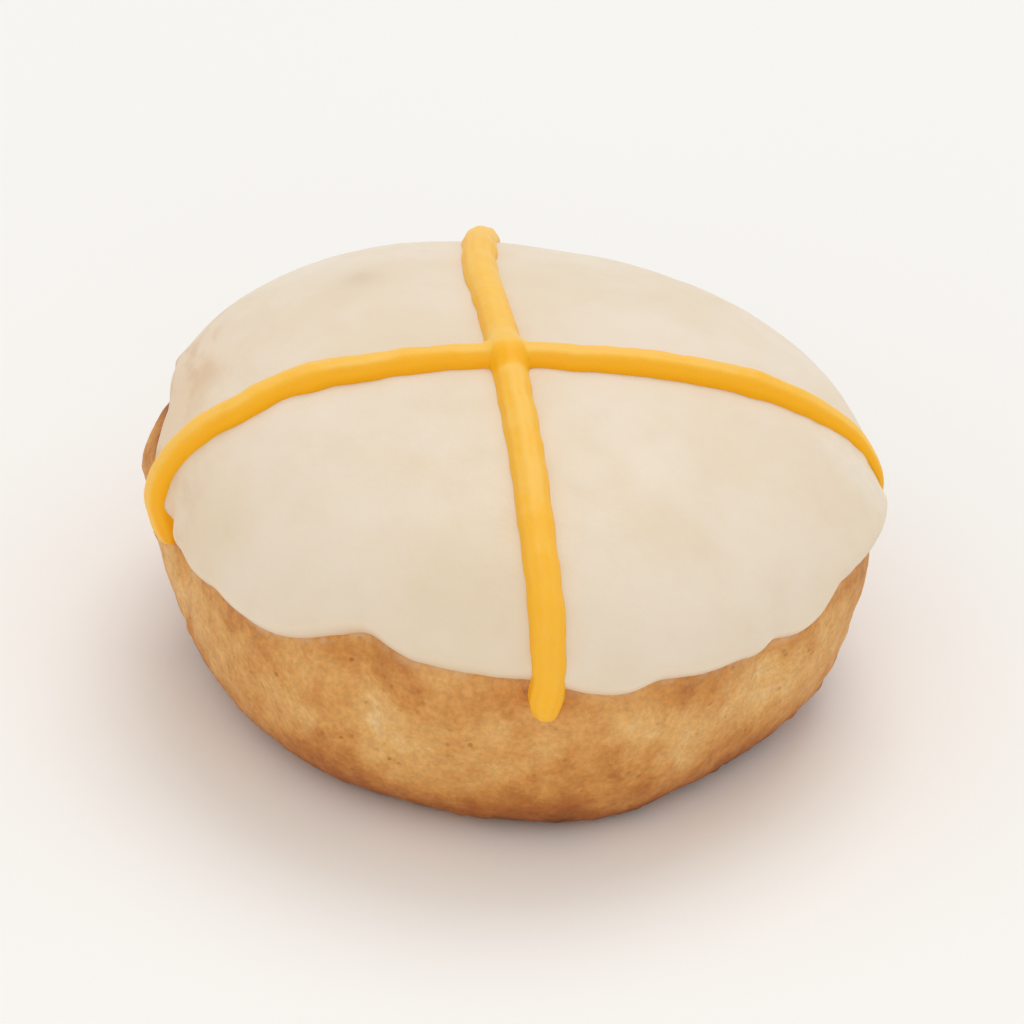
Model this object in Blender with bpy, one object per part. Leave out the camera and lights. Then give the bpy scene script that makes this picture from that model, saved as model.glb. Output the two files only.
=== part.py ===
"""A round iced bun: a soft baked bun, a coat of pale icing and a piped orange cross.

Metres, +Z up. The origin is the middle of the underside, and the front is at -Y, so that
+X is on the right as the bun is looked at.
"""

import math
import random

import bmesh
import bpy
import numpy as np
from mathutils import Vector, noise
from mathutils.bvhtree import BVHTree

NAME = "iced_bun"
SEED = 7

# The baked bun. Its dome is a superellipse turned about a leaning axis, and its side is one
# Bezier curve from the widest level down to the flat underside.
CRUST_RADIUS = 0.0420           # mean radius at the widest level
WIDEST_HEIGHT = 0.0235          # of that level above the underside
DOME_RISE = 0.0181              # from there up to the crown
DOME_EXPONENT = 2.18            # 2 is an ellipse, and more is squarer
CROWN_LEAN = (-0.0009, 0.0024)  # how far the crown lies off the middle, in x and y
FOOT_RADIUS = 0.0318            # flat underside
SIDE_HANDLE = 0.0100            # how far the side stays upright below the widest level
FOOT_HANDLE = 0.0082            # how wide it rolls under

# The plan is round but for these waves: waves in a turn, height as a share of the radius,
# and the direction of the first crest.
PLAN_WAVES = ((1, 0.012, 170), (2, 0.034, 127), (3, 0.022, 11), (5, 0.011, 54), (7, 0.005, 25))
# More such waves for the underside alone, which fade out up to the widest level.
FOOT_WAVES = ((1, 0.012, 300), (2, 0.014, 62), (4, 0.009, 20), (6, 0.005, 47))

# Broad unevenness of the dome and side, carried by everything that lies on the bun.
RELIEF_HEIGHT = 0.0005
RELIEF_WAVELENGTH = 0.019
# A fuller shoulder on the left: direction, share of the radius, reach and height.
SHOULDER = (163, 0.92, 0.0110, 0.0008)
# Creases in the baked side: how many, how deep, how wide, and the levels between which they run.
CREASE_COUNT = 9
CREASE_DEPTH = 0.0019
CREASE_WIDTH = 0.0028
CREASE_LEVELS = (-0.62, 0.42)

# The icing: a coat on the dome with a rounded lip and an uneven edge.
GAP = 0.0003                    # between pieces that touch
ICING_THICKNESS = 0.0013
ICING_UNEVENNESS = 0.0002
ICING_LIP = 0.0026              # length over which the coat swells from its edge
ICING_EDGE = -0.0004            # mean height of the edge above the widest level
EDGE_WAVES = ((3, 0.0012, 250), (5, 0.0009, 40), (8, 0.0007, 110), (13, 0.0004, 20))
BARE_SIDE = (170, 14, 0.0072)   # direction and half angle of the high stretch, and its rise
BARE_SWELL = (172, 12, 0.0021)  # the same for the bare crust below it, and how far that swells
BARE_SWELL_START = 0.0012       # below the edge
BARE_SWELL_REACH = 0.0045       # from there, until it is full
BARE_LIP = 0.0080               # by how much longer the coat thins out there

# The piped cross: two round strands laid over the icing, one on top of the other.
STRAND_RADIUS = 0.00195
TIP_LIFT = 0.00050              # of a strand's middle line off the coat where it thins out
STRAND_WOBBLE = 0.00022         # sideways
SWAY_LENGTH = 0.0040
STRAND_SWELL = 0.06             # of its radius, as a share
SWELL_LENGTH = 0.0026
STRAND_POINTS = 60
END_CROWDING = 0.7              # 0 spaces the points evenly, and more crowds them to the ends
STRAND_BRIDGING = 3             # smoothing passes that let a strand span a hollow
STRAND_ROUNDING = 4             # and those that round it where it bends over an edge
CROSSING = (-0.0018, -0.0036)   # where the strands cross, in x and y
CROSSING_RISE = 0.00085         # of the upper strand over the lower one
CROSSING_REACH = 0.0042
# One strand each: the way it heads in plan, and for its two ends the angle below the horizon
# seen from a point inside the bun, the length of the taper, its power, which is 0.5 for a
# round end and more for a fine one, and the share of the radius that is left at the tip. Its
# bows are how far aside it lies at some angles from the upright.
SIDE_STRAND = {
    "heading": 0.0, "ends": (11.0, 3.6),
    "tapers": (0.0040, 0.0240), "powers": (0.5, 1.05), "tips": (0.12, 0.12),
    "bows": (
        (-101, -0.0020), (-85, -0.0021), (-72, -0.0019), (-60, -0.0005), (-30, 0.0),
        (78, 0.0), (89, -0.0013), (94, -0.0015),
    ),
}
LONG_STRAND = {
    "heading": 94.3, "ends": (10.5, 9.0),
    "tapers": (0.0035, 0.0060), "powers": (0.5, 0.5), "tips": (0.12, 0.12),
    "bows": ((25, 0.0), (50, 0.0003), (57, 0.0001), (64, -0.0006), (79, -0.0029), (99, -0.0034)),
}
STRAND_HEART = 0.0265           # height of that point, on the axis through the crossing

# Fineness
CRUST_SEGMENTS = 88
CRUST_RINGS = 30
ICING_SEGMENTS = 88
ICING_RINGS = 28
EDGE_CROWDING = 1.6             # above 1 the icing's rings crowd towards its edge
UNDERSIDE_WEIGHT = 0.10         # share of the ring spacing that the flat underside gets
PROFILE_STEPS = 240

# Colours, roughness
CRUST_LOOK = ((0.520, 0.235, 0.070), 0.70)
ICING_LOOK = ((0.820, 0.700, 0.535), 0.42)
CROSS_LOOK = ((0.930, 0.440, 0.050), 0.38)


def clear_scene():
    for thing in list(bpy.data.objects):
        bpy.data.objects.remove(thing, do_unlink=True)


def collection(name):
    made = bpy.data.collections.new(name)
    bpy.context.scene.collection.children.link(made)
    return made


def material(name, look):
    colour, roughness = look
    made = bpy.data.materials.new(name)
    made.use_nodes = True
    shader = made.node_tree.nodes["Principled BSDF"]
    shader.inputs["Base Color"].default_value = (*colour, 1.0)
    shader.inputs["Roughness"].default_value = roughness
    shader.inputs["Metallic"].default_value = 0.0
    made.diffuse_color = (*colour, 1.0)
    return made


def add_object(name, mesh, where, finish):
    mesh.name = name
    made = bpy.data.objects.new(name, mesh)
    made.data.materials.clear()
    made.data.materials.append(finish)
    where.objects.link(made)
    return made


# ---- The bun's surface ----

def bezier(a, b, c, d, t):
    s = 1.0 - t
    return s**3 * a + 3.0 * s**2 * t * b + 3.0 * s * t**2 * c + t**3 * d


def make_profile():
    """The bun's outline from the crown to the middle of the underside.

    Radius is a share of the widest one. Level is 1 at the crown, 0 at the widest level and
    -1 at the underside. Travel is the way along the outline, from 0 to 1.
    """
    power = 2.0 / DOME_EXPONENT
    outline = []
    for step in range(PROFILE_STEPS + 1):
        turn = math.pi / 2.0 * step / PROFILE_STEPS
        outline.append((math.sin(turn) ** power, max(math.cos(turn), 0.0) ** power))
    foot = FOOT_RADIUS / CRUST_RADIUS
    side = SIDE_HANDLE / WIDEST_HEIGHT
    roll = FOOT_HANDLE / CRUST_RADIUS
    for step in range(1, PROFILE_STEPS + 1):
        t = step / PROFILE_STEPS
        radius = bezier(1.0, 1.0, foot + roll, foot, t)
        outline.append((radius, -bezier(0.0, side, 1.0, 1.0, t)))
    outline.append((0.0, -1.0))
    radius = np.array([point[0] for point in outline])
    level = np.array([point[1] for point in outline])
    rise = np.where(level > 0.0, DOME_RISE, WIDEST_HEIGHT) * level
    steps = np.hypot(np.diff(radius * CRUST_RADIUS), np.diff(rise))
    steps[-1] *= UNDERSIDE_WEIGHT
    travel = np.concatenate(([0.0], np.cumsum(steps)))
    return radius, level, rise, travel / travel[-1]


PROFILE_RADIUS, PROFILE_LEVEL, PROFILE_RISE, PROFILE_TRAVEL = make_profile()
SIDE_LENGTH = float(np.hypot(np.diff(PROFILE_RADIUS[:-1] * CRUST_RADIUS), np.diff(PROFILE_RISE[:-1])).sum())
TRAVEL_PER_METRE = float(PROFILE_TRAVEL[-2]) / SIDE_LENGTH


def wave(angle, waves):
    """The sum of some cosine waves round the bun, at an angle in radians."""
    total = 0.0
    for count, height, crest in waves:
        total += height * math.cos(count * (angle - math.radians(crest)))
    return total


def creases():
    """Seeded places of the creases: direction, lean and share of the full depth."""
    draw = random.Random(SEED)
    places = []
    for index in range(CREASE_COUNT):
        angle = math.tau * (index + draw.uniform(-0.3, 0.3)) / CREASE_COUNT
        places.append((angle, draw.uniform(-0.10, 0.10), draw.uniform(0.5, 1.0)))
    return places


CREASES = creases()


def crease_depth(angle, level):
    """How far the creases pull the side in at a place."""
    low, high = CREASE_LEVELS
    if not low < level < high:
        return 0.0
    fade = math.sin(math.pi * (level - low) / (high - low))
    depth = 0.0
    for middle, lean, share in CREASES:
        off = math.remainder(angle - middle - lean * level, math.tau) * CRUST_RADIUS
        depth += share * math.exp(-((off / CREASE_WIDTH) ** 2))
    return CREASE_DEPTH * fade * depth


def shoulder_height(angle, radius, level):
    """How far the shoulder swells out at a place."""
    direction, share, reach, height = SHOULDER
    turn = math.radians(direction)
    spot = Vector((radius * math.cos(angle), radius * math.sin(angle), min(level, 0.0)))
    middle = Vector((share * math.cos(turn), share * math.sin(turn), 0.0))
    return height * math.exp(-(((spot - middle).length * CRUST_RADIUS / reach) ** 2))


def nearness(angle, direction, half_angle):
    """1 in a direction, and 0 well away from it."""
    off = math.degrees(math.remainder(angle - math.radians(direction), math.tau))
    return math.exp(-((off / half_angle) ** 2))


def bare_swell(angle, rise):
    """How far the bare crust swells out at a height over the widest level."""
    direction, half_angle, height = BARE_SWELL
    below = (edge_level(angle) - BARE_SWELL_START - rise) / BARE_SWELL_REACH
    above_base = max(0.0, 1.0 + rise / WIDEST_HEIGHT)
    return height * nearness(angle, direction, half_angle) * max(0.0, min(1.0, below)) * above_base


def surface(angle, travel, grow=0.0, bare=True, creased=True):
    """The point of the bun's surface in a direction, some way down its outline.

    grow moves it outwards, for the layers that lie on the bun. bare is for the crust alone.
    """
    radius = float(np.interp(travel, PROFILE_TRAVEL, PROFILE_RADIUS))
    level = float(np.interp(travel, PROFILE_TRAVEL, PROFILE_LEVEL))
    dome = max(level, 0.0)
    place = Vector((radius * math.cos(angle), radius * math.sin(angle), level)) * CRUST_RADIUS
    relief = RELIEF_HEIGHT * noise.noise(place / RELIEF_WAVELENGTH + Vector((SEED, 0.0, 0.0)))
    relief *= 1.0 - max(-level, 0.0) ** 4
    relief += shoulder_height(angle, radius, level)
    if bare:
        relief += bare_swell(angle, float(np.interp(travel, PROFILE_TRAVEL, PROFILE_RISE)))
    if creased:
        relief -= crease_depth(angle, level)
    plan = 1.0 + wave(angle, PLAN_WAVES) + wave(angle, FOOT_WAVES) * max(-level, 0.0) ** 2
    reach = (CRUST_RADIUS * plan + grow + relief) * radius
    height = WIDEST_HEIGHT * (1.0 + min(level, 0.0)) + (DOME_RISE + grow + relief) * dome
    return Vector((
        reach * math.cos(angle) + CROWN_LEAN[0] * dome,
        reach * math.sin(angle) + CROWN_LEAN[1] * dome,
        height,
    ))


def reshaped_sphere(segments, rings, place):
    """A sphere's mesh with every point moved to place(angle, turn).

    turn is 0 at the north pole and 1 at the south pole.
    """
    shape = bmesh.new()
    bmesh.ops.create_uvsphere(shape, u_segments=segments, v_segments=rings, radius=1.0)
    for corner in shape.verts:
        angle = math.atan2(corner.co.y, corner.co.x)
        turn = math.acos(max(-1.0, min(1.0, corner.co.z))) / math.pi
        corner.co = place(angle, turn)
    mesh = bpy.data.meshes.new("reshaped")
    shape.to_mesh(mesh)
    shape.free()
    mesh.shade_smooth()
    return mesh


def crust_mesh(grow=0.0, creased=True):
    def place(angle, turn):
        return surface(angle, turn, grow, bare=True, creased=creased)

    return reshaped_sphere(CRUST_SEGMENTS, CRUST_RINGS, place)


# ---- The icing ----

def bareness(angle):
    """1 in the middle of the stretch where the icing ends high, and 0 away from it."""
    direction, half_angle, _ = BARE_SIDE
    return nearness(angle, direction, half_angle)


def edge_level(angle):
    """Height of the icing's edge above the widest level, in a direction."""
    return ICING_EDGE + wave(angle, EDGE_WAVES) + BARE_SIDE[2] * bareness(angle)


def edge_travel(angle):
    """The same edge as a way along the outline."""
    return float(np.interp(-edge_level(angle), -PROFILE_RISE, PROFILE_TRAVEL))


def icing_thickness(angle, travel):
    """Thickness of the coat, which falls to nothing at its edge in a round lip."""
    to_edge = (edge_travel(angle) - travel) / TRAVEL_PER_METRE
    if to_edge <= 0.0:
        return 0.0
    place = Vector((math.cos(angle), math.sin(angle), 0.0)) * travel * 3.0
    full = ICING_THICKNESS + ICING_UNEVENNESS * noise.noise(place + Vector((0.0, SEED, 0.0)))
    share = min(to_edge / (ICING_LIP + BARE_LIP * bareness(angle)), 1.0)
    return full * math.sqrt(1.0 - (1.0 - share) ** 2)


def icing_mesh(clearance=0.0):
    """The coat: a sphere's northern half makes its outer face and the southern half its inner one.

    With a clearance it is grown outwards and sunk into the bun, to cut what lies on it.
    """
    inner = GAP if clearance == 0.0 else -ICING_THICKNESS

    def place(angle, turn):
        to_edge = 1.0 - abs(1.0 - 2.0 * turn)
        travel = edge_travel(angle) * (1.0 - (1.0 - to_edge) ** EDGE_CROWDING)
        if to_edge > 1.0 - 1e-6:
            travel = edge_travel(angle) + clearance * TRAVEL_PER_METRE
        outer = GAP + icing_thickness(angle, travel) + clearance
        grow = outer if turn <= 0.5 else inner
        return surface(angle, travel, grow, bare=False, creased=False)

    return reshaped_sphere(ICING_SEGMENTS, ICING_RINGS, place)


# ---- The piped cross ----

def outermost(trees, start, direction):
    """The first surface that a ray coming in from outside meets."""
    hits = [tree.ray_cast(start, direction) for tree in trees]
    hits = [hit for hit in hits if hit[0] is not None]
    return min(hits, key=lambda hit: (hit[0] - start).length)


def smoothed(values, passes):
    for _ in range(passes):
        inner = [(a + 2.0 * b + c) / 4.0 for a, b, c in zip(values, values[1:], values[2:])]
        values = [values[0], *inner, values[-1]]
    return values


def eased(value, table):
    """The height at a value of a smooth line through a table of values and heights."""
    for (start, low), (end, high) in zip(table, table[1:]):
        if value <= end:
            share = max(value - start, 0.0) / (end - start)
            return low + (high - low) * share * share * (3.0 - 2.0 * share)
    return table[-1][1]


def end_taper(strand, from_start, from_end):
    """The share of a strand's full radius that its tapers leave at a place."""
    left = 1.0
    ends = zip((from_start, from_end), strand["tapers"], strand["powers"], strand["tips"])
    for distance, taper, power, tip in ends:
        share = min(distance / taper, 1.0)
        left *= tip + (1.0 - tip) * (share * (2.0 - share)) ** power
    return left


def strand_points(trees, strand, over):
    """Middle line of a strand and its radius at each point, laid over the coated bun."""
    heading = math.radians(strand["heading"])
    along = Vector((math.cos(heading), math.sin(heading), 0.0))
    across = Vector((-along.y, along.x, 0.0))
    heart = Vector((*CROSSING, STRAND_HEART))
    start, end = (math.radians(angle) for angle in strand["ends"])
    rays = []
    reaches = []
    normals = []
    for index in range(STRAND_POINTS):
        share = index / (STRAND_POINTS - 1)
        share -= END_CROWDING * math.sin(math.tau * share) / math.tau
        turn = math.pi + start - (math.pi + start + end) * share
        bow = eased(90.0 - math.degrees(turn), strand["bows"])
        ray = along * math.cos(turn) + Vector((0.0, 0.0, math.sin(turn)))
        inside = heart + across * bow
        spot, normal = outermost(trees, inside + ray * 2.0 * CRUST_RADIUS, -ray)[:2]
        rays.append((inside, ray))
        reaches.append((spot - inside).length)
        normals.append(normal)
    bridged = [max(pair) for pair in zip(reaches, smoothed(reaches, STRAND_BRIDGING))]
    rounded = smoothed(bridged, STRAND_ROUNDING)
    spots = [inside + ray * reach for (inside, ray), reach in zip(rays, rounded)]
    lengths = [0.0]
    for a, b in zip(spots, spots[1:]):
        lengths.append(lengths[-1] + (b - a).length)
    points = []
    radii = []
    for spot, normal, length in zip(spots, normals, lengths):
        taper = end_taper(strand, length, lengths[-1] - length)
        sway = STRAND_WOBBLE * noise.noise(Vector((length / SWAY_LENGTH, SEED, heading)))
        swell = STRAND_SWELL * noise.noise(Vector((length / SWELL_LENGTH, heading, SEED)))
        off = (spot - heart).xy.length / CROSSING_REACH
        hump = over * CROSSING_RISE * (math.cos(math.pi * min(off, 1.0)) + 1.0) / 2.0
        lift = TIP_LIFT * (1.0 - taper) + hump
        points.append(spot + normal * lift + across * sway)
        radii.append((1.0 + swell) * taper)
    return points, radii


def strand_mesh(points, radii):
    """A closed tube along the points."""
    curve = bpy.data.curves.new("strand", "CURVE")
    curve.dimensions = "3D"
    curve.bevel_depth = STRAND_RADIUS
    curve.bevel_resolution = 4
    curve.use_fill_caps = True
    spline = curve.splines.new("POLY")
    spline.points.add(len(points) - 1)
    for corner, spot, radius in zip(spline.points, points, radii):
        corner.co = (*spot, 1.0)
        corner.radius = radius
    carrier = bpy.data.objects.new("strand", curve)
    bpy.context.scene.collection.objects.link(carrier)
    evaluated = carrier.evaluated_get(bpy.context.evaluated_depsgraph_get())
    mesh = bpy.data.meshes.new_from_object(evaluated)
    bpy.data.objects.remove(carrier, do_unlink=True)
    shape = bmesh.new()
    shape.from_mesh(mesh)
    bmesh.ops.remove_doubles(shape, verts=shape.verts, dist=1e-6)
    shape.to_mesh(mesh)
    shape.free()
    return mesh


def boolean(target, operand, operation):
    change = target.modifiers.new(operation.lower() + "_" + operand.name, "BOOLEAN")
    change.operation = operation
    change.object = operand
    change.solver = "EXACT"


def hidden(thing):
    thing.hide_render = True
    thing.display_type = "WIRE"
    return thing


def as_tree(thing):
    shape = bmesh.new()
    shape.from_mesh(thing.data)
    tree = BVHTree.FromBMesh(shape)
    shape.free()
    return tree


def build_cross(crust, icing, parts, cutters, finish):
    """Two strands joined where they cross, cut to lie a gap above the icing and the crust."""
    trees = [as_tree(crust), as_tree(icing)]
    lower = strand_mesh(*strand_points(trees, SIDE_STRAND, over=0.0))
    upper = strand_mesh(*strand_points(trees, LONG_STRAND, over=1.0))
    cross = add_object("piped_cross", lower, parts, finish)
    over = hidden(add_object("upper_strand", upper, cutters, finish))
    coat = hidden(add_object("icing_clearance", icing_mesh(GAP), cutters, finish))
    baked = hidden(add_object("crust_clearance", crust_mesh(GAP, creased=False), cutters, finish))
    boolean(cross, over, "UNION")
    boolean(cross, coat, "DIFFERENCE")
    boolean(cross, baked, "DIFFERENCE")
    cross.data.shade_smooth()
    return cross


def centre_on_origin(things):
    """Moves the meshes so that the origin is below the middle of the whole bun."""
    corners = [corner.co for thing in things for corner in thing.data.vertices]
    middle = Vector((
        (min(c.x for c in corners) + max(c.x for c in corners)) / 2.0,
        (min(c.y for c in corners) + max(c.y for c in corners)) / 2.0,
        0.0,
    ))
    for thing in things:
        for corner in thing.data.vertices:
            corner.co -= middle


def main():
    clear_scene()
    parts = collection(NAME)
    cutters = collection("cutters")
    crust = add_object("bun", crust_mesh(), parts, material("baked_crust", CRUST_LOOK))
    icing = add_object("icing", icing_mesh(), parts, material("icing", ICING_LOOK))
    build_cross(crust, icing, parts, cutters, material("piping", CROSS_LOOK))
    centre_on_origin(list(parts.objects) + list(cutters.objects))


main()
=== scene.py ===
"""Looks of a round iced bun: a baked crust, a pale coat of icing and a piped orange cross.

Metres, +Z up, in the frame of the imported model. The bun's forms repeat those of the part's
source at a finer scale, from the same named values, with the small relief that shows close up.
"""

import math
import random

import bpy
import numpy as np
from mathutils import Matrix, Vector, noise
from mathutils.bvhtree import BVHTree


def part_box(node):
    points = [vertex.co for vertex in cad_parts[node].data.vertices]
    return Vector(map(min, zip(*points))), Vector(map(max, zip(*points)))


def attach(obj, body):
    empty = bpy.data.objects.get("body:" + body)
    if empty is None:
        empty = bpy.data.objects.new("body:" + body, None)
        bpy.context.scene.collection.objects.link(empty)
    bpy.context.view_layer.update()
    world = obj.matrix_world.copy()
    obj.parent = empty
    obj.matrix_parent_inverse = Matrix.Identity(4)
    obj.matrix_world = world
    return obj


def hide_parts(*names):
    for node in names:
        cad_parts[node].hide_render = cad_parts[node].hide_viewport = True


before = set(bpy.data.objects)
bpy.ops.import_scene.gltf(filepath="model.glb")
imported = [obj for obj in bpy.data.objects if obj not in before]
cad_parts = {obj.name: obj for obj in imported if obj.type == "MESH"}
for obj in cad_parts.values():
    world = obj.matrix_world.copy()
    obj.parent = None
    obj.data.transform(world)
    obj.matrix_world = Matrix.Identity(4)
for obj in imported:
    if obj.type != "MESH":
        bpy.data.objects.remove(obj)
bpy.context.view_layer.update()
SEED = 7

# ---- Form, with the values of the part's source ----

# The baked bun: a superellipse dome about a leaning axis, and one Bezier curve for its side.
CRUST_RADIUS = 0.0420           # mean radius at the widest level
WIDEST_HEIGHT = 0.0235          # of that level above the underside
DOME_RISE = 0.0181              # from there up to the crown
DOME_EXPONENT = 2.18            # 2 is an ellipse, and more is squarer
CROWN_LEAN = (-0.0009, 0.0024)  # how far the crown lies off the middle, in x and y
FOOT_RADIUS = 0.0318            # flat underside
SIDE_HANDLE = 0.0100            # how far the side stays upright below the widest level
FOOT_HANDLE = 0.0082            # how wide it rolls under
# Waves of the plan: waves in a turn, height as a share of the radius, direction of a crest.
PLAN_WAVES = ((1, 0.012, 170), (2, 0.034, 127), (3, 0.022, 11), (5, 0.011, 54), (7, 0.005, 25))
FOOT_WAVES = ((1, 0.012, 300), (2, 0.014, 62), (4, 0.009, 20), (6, 0.005, 47))
RELIEF_HEIGHT = 0.0005
RELIEF_WAVELENGTH = 0.019
# A fuller shoulder on the left: direction, share of the radius, reach and height.
SHOULDER = (163, 0.92, 0.0110, 0.0008)
CREASE_COUNT = 9
CREASE_DEPTH = 0.0019
CREASE_WIDTH = 0.0028
CREASE_LEVELS = (-0.62, 0.42)   # between which they run
CREASE_SCATTER = 0.3            # most that one lies off its even place, as a share of the spacing
CREASE_LEAN = 0.10
CREASE_SHARES = (0.5, 1.0)      # of the full depth

# The icing: a coat on the dome with a rounded lip and an uneven edge.
GAP = 0.0003                    # between the solids that touch
ICING_THICKNESS = 0.0013
ICING_UNEVENNESS = 0.0002
UNEVENNESS_WAVES = 3.0
ICING_LIP = 0.0026              # length over which the coat swells from its edge
ICING_EDGE = -0.0004            # mean height of the edge above the widest level
EDGE_WAVES = ((3, 0.0012, 250), (5, 0.0009, 40), (8, 0.0007, 110), (13, 0.0004, 20))
BARE_SIDE = (170, 14, 0.0072)   # direction and half angle of the high stretch, and its rise
BARE_SWELL = (172, 12, 0.0021)  # the same for the bare crust below it, and how far that swells
BARE_SWELL_START = 0.0012       # below the edge
BARE_SWELL_REACH = 0.0045       # from there, until it is full

# The piped cross: two round strands laid over the icing, one on top of the other.
STRAND_RADIUS = 0.00195
TIP_LIFT = 0.00050              # of a strand's middle line off the coat where it thins out
STRAND_WOBBLE = 0.00022         # sideways
SWAY_LENGTH = 0.0040
STRAND_SWELL = 0.06             # of its radius, as a share
SWELL_LENGTH = 0.0026
CROSSING = (-0.0018, -0.0036)   # where the strands cross, in x and y
CROSSING_RISE = 0.00085         # of the upper strand over the lower one
CROSSING_REACH = 0.0042
# One strand each: the way it heads in plan, and for its two ends the angle below the horizon
# seen from a point inside the bun, the length of the taper, its power, which is 0.5 for a
# round end and more for a fine one, and the share of the radius that is left at the tip. Its
# bows are how far aside it lies at some angles from the upright.
SIDE_STRAND = {
    "heading": 0.0, "ends": (11.0, 3.6),
    "tapers": (0.0040, 0.0240), "powers": (0.5, 1.05), "tips": (0.12, 0.12),
    "bows": (
        (-101, -0.0020), (-85, -0.0021), (-72, -0.0019), (-60, -0.0005), (-30, 0.0),
        (78, 0.0), (89, -0.0013), (94, -0.0015),
    ),
}
LONG_STRAND = {
    "heading": 94.3, "ends": (10.5, 9.0),
    "tapers": (0.0035, 0.0060), "powers": (0.5, 0.5), "tips": (0.12, 0.12),
    "bows": ((25, 0.0), (50, 0.0003), (57, 0.0001), (64, -0.0006), (79, -0.0029), (99, -0.0034)),
}
STRAND_HEART = 0.0265           # height of that point, on the axis through the crossing
UNDERSIDE_WEIGHT = 0.10         # share of the ring spacing that the flat underside gets
PROFILE_STEPS = 240

# ---- Small relief ----

OCTAVE_SHIFT = (5.1, 2.7)       # keeps the noises of an octave table apart
# Octaves of the crust's skin: height and wavelength.
SKIN = ((0.00028, 0.0078), (0.00016, 0.0034), (0.00009, 0.0017), (0.00004, 0.0010))
BLISTER_CELL = 0.0048           # one blister in each cell of this size
BLISTER_HEIGHT = 0.00026
BLISTER_RADIUS = 0.0013
WRINKLE_HEIGHT = 0.00022        # wrinkles that run round the side
WRINKLE_LENGTHS = (0.0060, 0.0012)  # along and across
WRINKLE_SHARPNESS = 2.2
FOOT_FADE = 0.0040              # length above the foot over which the relief fades
FOOT_RELIEF = 0.25              # share of the relief that is left at the foot and below
RELIEF_UNIT = 0.0004            # relief that the crust's material takes as 1
NEAR_ICING = 0.010              # distance below the icing that the material takes as 1
# The icing's own relief, and how it behaves at its edge.
ICING_SKIN = ((0.00018, 0.0120), (0.00008, 0.0050), (0.00003, 0.0020))
ICING_BEAD = 0.00050            # how much thicker it is just inside its edge
ICING_BEAD_PLACE = (0.0022, 0.0016)  # middle and half width of that bead
BARE_LIP = 0.0030               # how much wider its rounded lip is where it ends high
ICING_SINK = 0.0005             # how far its inner face and its edge lie in the crust
EDGE_RELIEF = 0.3               # share of its relief that is left at its edge
CREASE_FOLLOW = 0.006           # how far from its edge it dips into the crust's creases
RIM_WIDTH = 0.0009              # how far from its edge the crust shows through it
THIN_HALF_ANGLE = 30.0          # how far the thin stretch on the left goes round, in degrees
THIN_REACH = 0.011              # and how far in from the edge
DRIP_HEIGHT = 0.0020            # how far the edge hangs down in drips
DRIP_LENGTH = 0.0115
DRIP_ROUNDING = 0.10
DRIP_MEAN = 0.24                # what the drips' noise comes to on average
EDGE_RIPPLE = ((0.00022, 0.0046), (0.00010, 0.0020))
# A raisin just under the icing, which raises and dulls it a little: where, and how far it reaches.
RAISIN = ((-0.0177, 0.0182, 0.0405), 0.0034)
RAISIN_RISE = 0.00022
# Ridges that the nozzle leaves along a strand. Their strength has a mean and a length over which
# it varies, and their twist a largest angle and a length.
RIDGES = 9
RIDGE_HEIGHT = 0.000045
RIDGE_STRENGTH = (0.7, 0.010)
RIDGE_TWIST = (2.0, 0.030)
STRAND_SKIN = ((0.00004, 0.0038), (0.00003, 0.0016), (0.00002, 0.0008))
# Where the side strand was nudged: way along from the crossing, height and reach.
NUDGES = ((-0.0226, 0.00024, 0.0017), (0.0288, 0.00018, 0.0012))
# Where a strand widens at its foot, in degrees from straight below, over how many radians, and by
# what share of its radius.
FLARE = (84.0, 0.26, 0.07)
TIP_ROUNDING = 0.0004
FILLET = 0.0012                 # width over which the strands blend where they cross
FILLET_REACH = 0.0080           # how far from the crossing the blend is looked for
FILLET_MOST = 0.4               # the most that it adds, as a share of its width
FILLET_ROUNDS = 6
SEAM_SINK = 0.00015             # how far each strand dips under the other past their seam
SEAM_WIDTH = 0.0004
# Painted shade: how much deeper in colour a strand is painted down its sides, towards the front of
# its length, and where the upper one climbs over the other; its pale top is a painted sheen.
SIDE_PAINTED_SHADE = 1.0
LONG_PAINTED_SHADE = 0.22
FRONT_PAINTED_SHADE = 0.22
CLIMB_PAINTED_SHADE = 1.4
# A rough, lumpy patch of icing low on the right: direction, height over the widest level, reach.
LUMPS = (-14, 0.0074, 0.0038)
LUMP_HEIGHT = 0.00040
LUMP_LENGTH = 0.0015

# ---- Fineness ----

CRUST_SEGMENTS = 600
CRUST_HIDDEN_RINGS = 10         # under the icing
CRUST_SIDE_RINGS = 106
CRUST_FOOT_RINGS = 24
CRUST_SHOWS_FROM = 0.0125       # height above the widest level from which the rings are fine
ICING_SEGMENTS = 560
ICING_OUTER_RINGS = 118
ICING_INNER_RINGS = 16
EDGE_CROWDING = 1.5             # above 1 the icing's rings crowd towards its edge
RAY_COUNT = 420
STRAND_RINGS = 560
STRAND_SIDES = 64
STRAND_CROWDING = 0.6           # 0 spaces the rings evenly, and more crowds them to the ends
BRIDGING = 0.0024               # a strand spans hollows of about this length
ROUNDING = 0.0016               # and rounds the edges that it bends over by this much


# ---- The bun's surface ----

def bezier(a, b, c, d, t):
    s = 1.0 - t
    return s**3 * a + 3.0 * s**2 * t * b + 3.0 * s * t**2 * c + t**3 * d


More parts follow.
